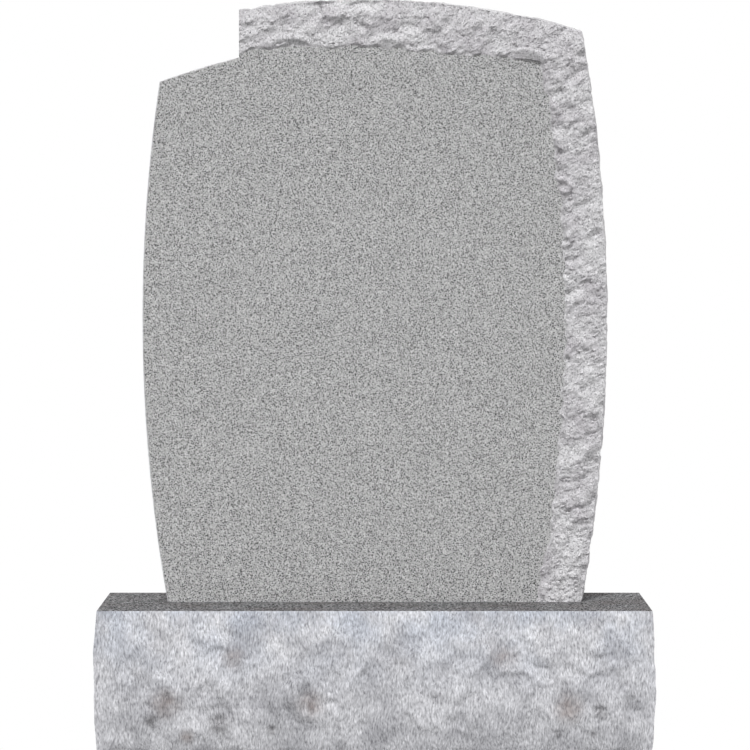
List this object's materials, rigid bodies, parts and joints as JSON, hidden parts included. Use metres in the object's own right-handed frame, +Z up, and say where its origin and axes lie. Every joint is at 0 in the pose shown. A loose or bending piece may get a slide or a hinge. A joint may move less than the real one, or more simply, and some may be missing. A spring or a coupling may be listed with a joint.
{
  "type": "grave marker",
  "caption": "Upright granite headstone with a barrel-sided tablet, stepped left shoulder and blank inscription panel, standing on a rock-pitched base.",
  "frame": {"origin": "middle of the base's underside, which stands on the ground", "axes": "+Z up; the inscription panel looks along -Y; +X is to the right of someone reading the panel"},
  "size_m": [0.8283, 0.3373, 1.1103],
  "materials": {
    "tablet_granite": null,
    "base_granite": null
  },
  "bodies": {
    "root": {"tablet": "tablet_granite", "base": "base_granite"}
  },
  "joints": []
}
